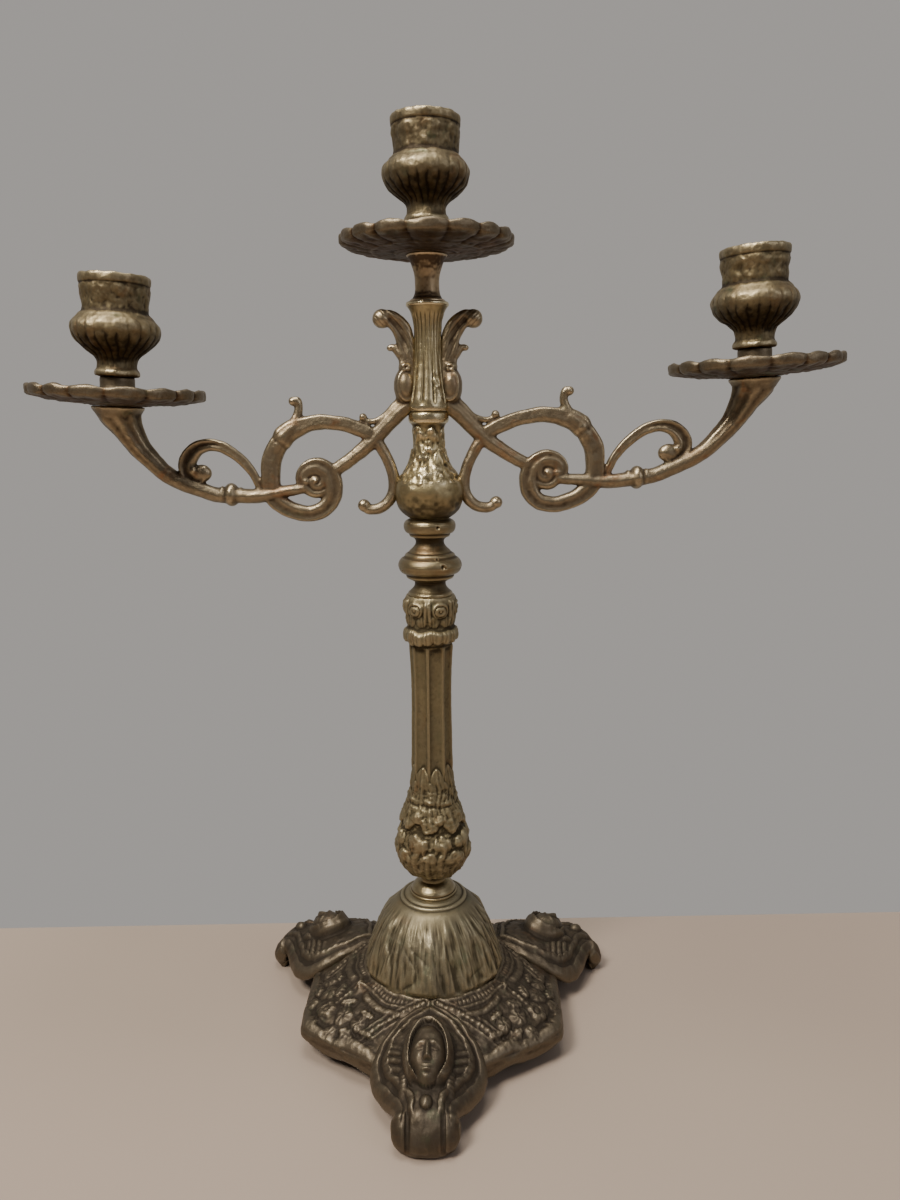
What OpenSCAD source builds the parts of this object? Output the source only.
// Three-light table candelabrum: footed base, cast stem, branch head, drip pans and candle cups.
// Millimetres. Z up, origin on the table under the stem axis, branches along X, front foot towards -Y.

/* [Base] */
// Turn of the base on the stem axis, degrees
base_turn = -2.7; // [-10:0.1:10]
// Height of the base dome's top face
dome_top_z = 62.5; // [60:0.5:64]
// Half of the distance between opposite sides of the skirt
skirt_a = 58; // [54:0.5:62]
// Reach of each toe from the stem axis
toe_r = 88.5; // [84:0.5:92]
// Wall thickness of the casting
wall = 3; // [2.5:0.5:4]
/* [Branches] */
// Reach of the left candle axis
left_reach = 127; // [120:1:132]
// Reach of the right candle axis
right_reach = 135; // [128:1:140]
// Droop of the left branch along its length
left_slope = -0.045; // [-0.08:0.005:0]
// Rise of the right branch along its length
right_slope = 0.045; // [0:0.005:0.08]
// Lean of the left candle axis towards the stem, degrees
left_lean = 2.8; // [0:0.1:5]
// Lean of the right candle axis towards the stem, degrees
right_lean = 3.3; // [0:0.1:5]
// Thickness of the flat scrollwork
scroll_t = 5.6; // [4:0.2:7]
/* [Lights] */
// Candle socket radius, for a candle 22 mm across
candle_r = 11.25; // [11.1:0.05:11.5]
// Candle socket depth
candle_depth = 24; // [18:1:26]
// Drip pan radius
pan_r = 35; // [32:0.5:36]
// Number of scallops round a pan
pan_lobes = 16; // [12:1:20]
/* [Fasteners] */
// Radius of the M6 rod and studs
rod_r = 3; // [2.9:0.05:3.1]
// Running gap round a stud or the rod
run_gap = 0.05; // [0.03:0.01:0.08]
// Clearance hole radius through the stack
clear_r = 3.3; // [3.2:0.1:3.6]

/* [Hidden] */
$fn = 72;

knop_z = 201;
hub_z = 234;
neck_z = 321;
seat_z = 339;
gap = 0.08;
bronze = [0.42, 0.36, 0.24];
dark = [0.27, 0.21, 0.15];
steel = [0.62, 0.62, 0.60];

// ---- helpers ---------------------------------------------------------------
// Linear look-up in a table of [key, value] rows with rising keys
function look(t, k, i = 0) =
    k <= t[0][0] ? t[0][1] :
    i >= len(t) - 1 ? t[len(t) - 1][1] :
    k <= t[i + 1][0] ? t[i][1] + (t[i + 1][1] - t[i][1]) * (k - t[i][0]) / (t[i + 1][0] - t[i][0]) :
    look(t, k, i + 1);
// Point of a smooth curve through p at segment i, fraction t
function pt(p, i) = p[max(0, min(len(p) - 1, i))];
function curve(p, i, t) =
    0.5 * (2 * pt(p, i) + (pt(p, i + 1) - pt(p, i - 1)) * t
    + (2 * pt(p, i - 1) - 5 * pt(p, i) + 4 * pt(p, i + 1) - pt(p, i + 2)) * t * t
    + (3 * pt(p, i) - pt(p, i - 1) - 3 * pt(p, i + 1) + pt(p, i + 2)) * t * t * t);
function smooth(p, n) = [for (i = [0 : len(p) - 2]) for (k = [0 : n - 1]) curve(p, i, k / n), p[len(p) - 1]];
// Unit direction of a planar path at point i
function dir2(p, i) = let (a = pt(p, i - 1), b = pt(p, i + 1), d = [b[0] - a[0], b[1] - a[1]]) d / norm(d);
// Outline of a ribbon that follows [x, z, half width] rows
function ribbon_outline(q) = concat(
    [for (i = [0 : len(q) - 1]) let (d = dir2(q, i)) [q[i][0] - d[1] * q[i][2], q[i][1] + d[0] * q[i][2]]],
    [for (k = [0 : len(q) - 1]) let (i = len(q) - 1 - k, d = dir2(q, i)) [q[i][0] + d[1] * q[i][2], q[i][1] - d[0] * q[i][2]]]);
// Closed tube along [x, z, radius] rows in the XZ plane, n sides
module sweep_round(q, n = 16) {
    m = len(q);
    pts = concat(
        [for (i = [0 : m - 1]) let (d = dir2(q, i)) for (k = [0 : n - 1]) let (a = 360 * k / n)
            [q[i][0] - d[1] * cos(a) * q[i][2], sin(a) * q[i][2], q[i][1] + d[0] * cos(a) * q[i][2]]],
        [[q[0][0], 0, q[0][1]], [q[m - 1][0], 0, q[m - 1][1]]]);
    faces = concat(
        [for (i = [0 : m - 2]) for (k = [0 : n - 1]) let (j = (k + 1) % n)
            [i * n + k, i * n + j, (i + 1) * n + j]],
        [for (i = [0 : m - 2]) for (k = [0 : n - 1]) let (j = (k + 1) % n)
            [i * n + k, (i + 1) * n + j, (i + 1) * n + k]],
        [for (k = [0 : n - 1]) [m * n, (k + 1) % n, k]],
        [for (k = [0 : n - 1]) [m * n + 1, (m - 1) * n + k, (m - 1) * n + (k + 1) % n]]);
    polyhedron(pts, faces, convexity = 6);
}

// ---- base ------------------------------------------------------------------
// Outline of the plan: rounded hexagon with a toe on every second corner
function hexr(phi) = min(skirt_a / cos(abs(phi) - 30), 65.5);
foot_out = [[0, 1], [3, 0.998], [6, 0.992], [9, 0.93], [12, 0.855], [15, 0.815], [18, 0.785], [21, 0.745], [24, 0.67], [27, 0.6]];
function outr(phi) = max(hexr(phi), toe_r * look(foot_out, abs(phi)));
foot_top = [[31, 28], [40, 27.5], [49, 28], [58, 30.5], [65, 25.5], [70, 22.5], [75, 20.5], [81, 16.5], [85, 12], [88.5, 6.5]];
foot_half = [[31, 8], [40, 17], [50, 22.5], [60, 24], [66, 21.5], [72, 16.5], [79, 12.5], [88.5, 13]];
foot_drop = [[31, 4], [45, 8], [60, 15], [70, 12], [80, 7], [88.5, 2]];
function foot_z(u, v) = look(foot_top, u) - look(foot_drop, u) * pow(min(abs(v) / look(foot_half, u), 1.6), 2);
function skirt_z(r, phi) = 28.5 - 15 * (r - 30) / (hexr(phi) - 30);
function top_z(r, phi) = max(skirt_z(r, phi), abs(phi) < 32 ? foot_z(r * cos(phi), r * sin(phi)) : 0, 4);
toe_low = [[70, 30], [76, 15], [80, 7], [83, 0.3], [100, 0.3]];
rim_low = [[0, 30], [0.8, 30], [0.93, 10], [1, 6.5]];
function low_z(r, phi, s) = min(top_z(r, phi) - wall, look(toe_low, r * cos(phi)), look(rim_low, s) + (abs(phi) < 24 ? 4 - abs(phi) / 6 : 0));
module skirt_and_feet() {
    n = 120;
    rings = [0, 0.15, 0.3, 0.45, 0.6, 0.72, 0.83, 0.93, 1];
    m = len(rings);
    ang = [for (i = [0 : n - 1]) 360 * i / n];
    // angle to the nearest foot axis
    phis = [for (a = ang) let (b = (a + 90 + 60) % 120) b - 60];
    top = [for (i = [0 : n - 1]) for (s = rings) let (r = 29.5 + (outr(phis[i]) - 29.5) * s) [r * cos(ang[i]), r * sin(ang[i]), top_z(r, phis[i])]];
    low = [for (i = [0 : n - 1]) for (s = rings) let (r = 29.5 + (outr(phis[i]) - 29.5) * s) [r * cos(ang[i]), r * sin(ang[i]), low_z(r, phis[i], s)]];
    t = n * m;
    faces = concat(
        [for (i = [0 : n - 1]) for (k = [0 : m - 2]) let (j = (i + 1) % n) [i * m + k, j * m + k, j * m + k + 1]],
        [for (i = [0 : n - 1]) for (k = [0 : m - 2]) let (j = (i + 1) % n) [i * m + k, j * m + k + 1, i * m + k + 1]],
        [for (i = [0 : n - 1]) for (k = [0 : m - 2]) let (j = (i + 1) % n) [t + i * m + k, t + j * m + k + 1, t + j * m + k]],
        [for (i = [0 : n - 1]) for (k = [0 : m - 2]) let (j = (i + 1) % n) [t + i * m + k, t + i * m + k + 1, t + j * m + k + 1]],
        [for (i = [0 : n - 1]) let (j = (i + 1) % n) [i * m + m - 1, j * m + m - 1, t + j * m + m - 1]],
        [for (i = [0 : n - 1]) let (j = (i + 1) % n) [i * m + m - 1, t + j * m + m - 1, t + i * m + m - 1]],
        [for (i = [0 : n - 1]) let (j = (i + 1) % n) [i * m, t + j * m, j * m]],
        [for (i = [0 : n - 1]) let (j = (i + 1) % n) [i * m, t + i * m, t + j * m]]);
    polyhedron(concat(top, low), faces, convexity = 8);
}
dome_out = [[31.5, 26], [31, 29], [30, 33], [28.2, 38], [25.2, 45], [21.8, 52], [19.8, 55], [17, 58.3], [14, 60.8], [11, dome_top_z]];
module dome() {
    rotate_extrude() polygon(concat(
        dome_out,
        [[clear_r, dome_top_z], [clear_r, 56], [13, 56]],
        [for (i = [0 : 5]) let (p = dome_out[5 - i]) [p[0] - wall - 0.5, p[1] - 1]]));
}
module base_casting() {
    color(dark) rotate([0, 0, base_turn]) union() {
        skirt_and_feet();
        dome();
        for (a = [-90, 30, 150]) rotate([0, 0, a]) translate([toe_r - 4.6, 0, 0]) cylinder(r = 4, h = 4);
    }
}
module base_washer() {
    color(steel) difference() {
        translate([0, 0, 54.4]) cylinder(r = 9, h = 1.6);
        translate([0, 0, 50]) cylinder(r = clear_r, h = 10);
    }
}
module base_nut() {
    color(steel) difference() {
        translate([0, 0, 49.2]) cylinder(r = 5.8, h = 5.2, $fn = 6);
        translate([0, 0, 45]) cylinder(r = rod_r + 0.02, h = 15);
    }
}
module tie_rod() {
    color(steel) translate([0, 0, 46.5]) cylinder(r = rod_r, h = 252.5);
}

// ---- stem stack ------------------------------------------------------------
collar_prof = [[10.4, 62.5], [10.6, 63.2], [9.9, 63.8], [9.8, 64.6], [9, 66], [7.6, 67.4], [6.2, 68.2]];
stem_prof = [[5.8, 68.2], [5.7, 70], [6.2, 71], [8.4, 72], [10.8, 73.5], [13, 75], [14.8, 77.5], [16, 80], [16.8, 82],
    [17.3, 85], [17, 88], [16.4, 91], [15.3, 94], [14.4, 97], [13.8, 100], [13.1, 104], [11.8, 107], [10.8, 110], [9.6, 115],
    [9.3, 120], [9.2, 125], [8.8, 130], [8.7, 140], [8.5, 150], [8.5, 160], [8.7, 168], [9.1, 174], [9.8, 179], [11.2, 181.3],
    [12, 184.5], [11.5, 186.5], [10.5, 189], [11, 191], [11.6, 193], [11.8, 195.5], [11.5, 197.3], [10.9, 199], [10.2, knop_z]];
knop_prof = [[9.8, knop_z], [9.5, 202], [8, 203.5], [6.8, 205], [6.6, 206], [7, 207], [8.4, 208], [10.1, 209], [11.2, 210], [12.4, 211],
    [13.4, 212.4], [13.7, 213.8], [13.4, 215.2], [12.5, 216.4], [11.2, 217.6], [10, 219], [8.8, 220.4], [7.2, 221.6], [6.1, 223], [6.2, 224.5], [7.2, 225.7], [8.7, 227],
    [9.8, 228.4], [10.8, 229.6], [11.1, 231], [10.8, 232.3], [10, 233.3], [8.6, hub_z]];
module stack_piece(prof, z0, z1, hole) {
    rotate_extrude() polygon(concat([[hole, z0]], prof, [[hole, z1]]));
}
module base_collar() { color(bronze) stack_piece(collar_prof, dome_top_z, 68.2, clear_r); }
module stem_column() {
    color(bronze) difference() {
        stack_piece(stem_prof, 68.2, knop_z, clear_r);
        for (k = [0 : 7]) rotate([0, 0, 22.5 + 45 * k]) translate([10.6, 0, 122]) cylinder(r = 2.8, h = 54, $fn = 32);
    }
}
module ring_knop() { color(bronze) stack_piece(knop_prof, knop_z, hub_z, clear_r); }

// ---- branch head -----------------------------------------------------------
hub_prof = [[8.4, hub_z + gap], [9.2, 234.7], [11.2, 236], [12.9, 238], [14.2, 241], [14.6, 244], [14.4, 247], [13.4, 250.2], [12.4, 250.8], [11.6, 253],
    [9.9, 255], [8.3, 257], [7.4, 260], [6.6, 265], [6.4, 269], [6.9, 272.6], [7.8, 273.4], [8.3, 274.6], [8.3, 276.4], [7.9, 277.6],
    [8.6, 278.4], [8.4, 281], [7.8, 285], [7, 290], [6.2, 295], [5.6, 301], [5.5, 308], [5.8, 313], [6.7, 316], [7.7, 318.6], [8.7, 319.5], [8.7, neck_z]];
neck_prof = [[7.4, neck_z], [7.2, 321.6], [5.9, 322.6], [5.2, 325], [5.1, 328], [5.5, 331], [6.6, 334], [8.2, 337], [9.4, seat_z]];
module hub_solid() { rotate_extrude() polygon(concat([[0, hub_z + gap]], hub_prof, [[0, neck_z]])); }
module hub_baluster() {
    color(bronze) difference() {
        hub_solid();
        translate([0, 0, 230]) cylinder(r = rod_r + run_gap, h = 72);
    }
}
module top_neck() {
    color(bronze) difference() {
        rotate_extrude() polygon(concat([[0, neck_z]], neck_prof, [[0, seat_z]]));
        translate([0, 0, seat_z - 9]) cylinder(r = rod_r + run_gap, h = 20);
    }
}
// Branch pattern, x outwards and z up, rows of [x, z, half width]
scroll_main = [[5, 280, 3.5], [12, 278, 3], [17, 273, 3.1], [22, 267.5, 3.2], [27.5, 263, 3], [33, 259, 2.8], [38.5, 255.5, 2.7]];
scroll_c = [[23, 268, 3], [30.5, 272, 3.1], [35.5, 274, 3], [41, 274.8, 3], [45.5, 275.2, 3.2], [50.5, 274.6, 3.3], [55, 273.4, 3.6], [59, 271.5, 3.9],
    [62.5, 268.5, 4], [65.5, 264.5, 4.1], [67.3, 260, 4.1], [67.9, 254.5, 4], [67.5, 249.5, 4], [65.5, 244.5, 3.9], [60.5, 240, 3.7], [53, 237.8, 3.5],
    [47, 238.5, 3.5], [43.5, 241, 3.6], [41.3, 245.5, 3.8], [40.8, 249.8, 3.7], [42, 254, 3.3], [45, 257.4, 3], [48.5, 258.4, 2.7], [52.5, 257, 2.3],
    [55, 253.5, 2], [54.4, 250, 1.9], [51.8, 248.8, 2]];
scroll_bar = [[85, 247.3, 3.5], [80, 246.5, 3.1], [74, 246.2, 3], [67, 246.8, 2.7], [61.5, 247.6, 2.4], [56.5, 248, 2.1], [52, 248, 2]];
scroll_curl = [[72, 248.5, 1.8], [73.5, 251.5, 1.7], [75.5, 256, 1.7], [79.5, 261, 1.9], [85, 265.3, 2.1], [89.5, 267.6, 2.1], [94, 268.3, 2.3], [99, 266.5, 2.8],
    [102, 263.2, 3.2], [103.2, 259.8, 3], [102, 256.8, 2.6], [99, 255.4, 2.6]];
scroll_hook = [[55.5, 275, 1.8], [55.3, 278, 1.6], [54.6, 281.3, 1.6], [55, 283.8, 1.6]];
scroll_tendril = [[12, 281, 1.4], [14.5, 279.8, 1.3], [18, 276.5, 1.2], [22, 274.4, 1.2], [25.5, 274.4, 1.2], [27.4, 275.6, 1.2]];
scroll_low = [[20.5, 266.5, 2], [19.5, 263.5, 2], [17, 258.5, 2], [15.2, 254, 2], [14.4, 249, 2], [15, 244.5, 2], [17.5, 240.4, 2], [21, 238, 2], [25, 237.3, 2], [28, 238.6, 2]];
horn = [[84.3, 247, 3.4], [92.5, 247.9, 3.2], [97.5, 249.7, 3.2], [103, 252, 3.3], [108, 254.5, 3.5], [113.5, 258.2, 3.7], [118, 262.8, 4], [122, 267.5, 4.5],
    [125.4, 272.4, 5.3], [127.9, 277, 6.3], [129.6, 281, 8], [130.9, 285.2, 9.8]];
leaf = [[4, 281], [13, 281.5], [14.3, 286], [14, 291], [12, 295.8], [11.2, 300], [12, 302.4], [15, 301.8], [17.4, 303.2], [15.5, 304.6],
    [12.3, 305.4], [12, 308], [13.4, 310.8], [15.4, 311], [15.5, 318.4], [13, 317.6], [10.8, 315], [9, 312.6], [4, 310.4]];
// Stretch of the pattern to a reach and a slope
function mx(x, reach) = x < 18 ? x : 18 + (x - 18) * (reach - 18) / 113;
function mz(x, z, slope) = x < 18 ? z : z + slope * (x - 18);
function mq(q, reach, slope) = [for (p = q) [mx(p[0], reach), mz(p[0], p[1], slope), p[2]]];
module flat_scrolls(reach, slope) {
    polygon(ribbon_outline(smooth(mq(scroll_main, reach, slope), 3)));
    polygon(ribbon_outline(smooth(mq(scroll_c, reach, slope), 3)));
    polygon(ribbon_outline(smooth(mq(scroll_bar, reach, slope), 2)));
    polygon(ribbon_outline(smooth(mq(scroll_curl, reach, slope), 3)));
    polygon(ribbon_outline(smooth(mq(scroll_hook, reach, slope), 2)));
    polygon(ribbon_outline(smooth(mq(scroll_tendril, reach, slope), 2)));
    polygon(ribbon_outline(smooth(mq(scroll_low, reach, slope), 3)));
    polygon(leaf);
    for (c = [[52, 251.3, 3], [97, 258, 4.2], [56.3, 284, 2], [28.5, 239.4, 2.3], [27.4, 276, 1.5], [18.5, 314.7, 3.8]])
        translate([mx(c[0], reach), mz(c[0], c[1], slope)]) circle(r = c[2], $fn = 24);
}
// One branch, pointing to +X; the seat plane is at the end of the horn
module branch(reach, slope, lean) {
    sz = mz(131, 285.7, slope);
    difference() {
        union() {
            rotate([90, 0, 0]) translate([0, 0, -scroll_t / 2]) linear_extrude(scroll_t) flat_scrolls(reach, slope);
            sweep_round(smooth(mq(horn, reach, slope), 2), 16);
            translate([mx(85, reach), 0, mz(85, 247.4, slope)]) sphere(r = 4.9, $fn = 32);
            translate([reach, 0, sz]) rotate([0, -lean, 0]) translate([0, 0, -2.6]) cylinder(r = 10.6, h = 2.6);
        }
        hub_solid();
        translate([reach, 0, sz]) rotate([0, -lean, 0]) {
            translate([0, 0, -8]) cylinder(r = rod_r + run_gap, h = 30);
            cylinder(r = 30, h = 20);
        }
    }
}
module arm_right() { color(bronze) branch(right_reach, right_slope, right_lean); }
module arm_left() { color(bronze) mirror([1, 0, 0]) branch(left_reach, left_slope, left_lean); }

// ---- lights ----------------------------------------------------------------
module at_left() { translate([-left_reach, 0, mz(131, 285.7, left_slope)]) rotate([0, left_lean, 0]) children(); }
module at_right() { translate([right_reach, 0, mz(131, 285.7, right_slope)]) rotate([0, -right_lean, 0]) children(); }
module at_centre() { translate([0, 0, seat_z]) children(); }

pan_prof = [[10.8, gap], [11.4, 0.5], [20, 1.1], [28, 1.9], [33, 2.6], [34.2, 3.2], [35, 5.2], [35, 7.4], [34.4, 7.8], [33.6, 7.6], [33, 6.6], [31, 5], [24, 4.4], [14, 4.2], [9, 4.6], [7.4, 6], [6.8, 8], [6.8, 11.7]];
module drip_pan() {
    color(dark) difference() {
        rotate_extrude() polygon(concat([[rod_r + run_gap, gap]], [for (p = pan_prof) [p[0] > 15 ? p[0] * pan_r / 35 : p[0], p[1]]], [[rod_r + run_gap, 11.7]]));
        for (k = [0 : pan_lobes - 1]) rotate([0, 0, 360 * (k + 0.5) / pan_lobes]) translate([pan_r + 1.6, 0, -1]) cylinder(r = 2.6, h = 12, $fn = 24);
    }
}
cup_prof = [[8.6, 11.8], [8.9, 12.3], [8.9, 14], [8.2, 15], [7.8, 17], [8.4, 19.2], [10, 21], [12.7, 23.3], [15.4, 26], [17, 28.5], [17.7, 31], [17.1, 34], [15.3, 36],
    [13.4, 37.5], [12.9, 39], [12.9, 41], [13.4, 43.5], [13.7, 46], [13.6, 49.5], [13.3, 51]];
module candle_cup() {
    color(bronze) difference() {
        rotate_extrude() polygon(concat([[0, 11.8]], cup_prof, [[0, 51]]));
        translate([0, 0, 51 - candle_depth]) cylinder(r = candle_r, h = 40);
        translate([0, 0, 5]) cylinder(r = rod_r + run_gap, h = 17.5);
    }
}
module stud() { color(steel) translate([0, 0, -7.5]) cylinder(r = rod_r, h = 28.5); }

base_casting();
base_washer();
base_nut();
tie_rod();
base_collar();
stem_column();
ring_knop();
hub_baluster();
top_neck();
arm_left();
arm_right();
at_left() drip_pan();  // pan_left
at_centre() drip_pan();  // pan_centre
at_right() drip_pan();  // pan_right
at_left() candle_cup();  // cup_left
at_centre() candle_cup();  // cup_centre
at_right() candle_cup();  // cup_right
at_left() stud();  // stud_left
at_centre() stud();  // stud_centre
at_right() stud();  // stud_right
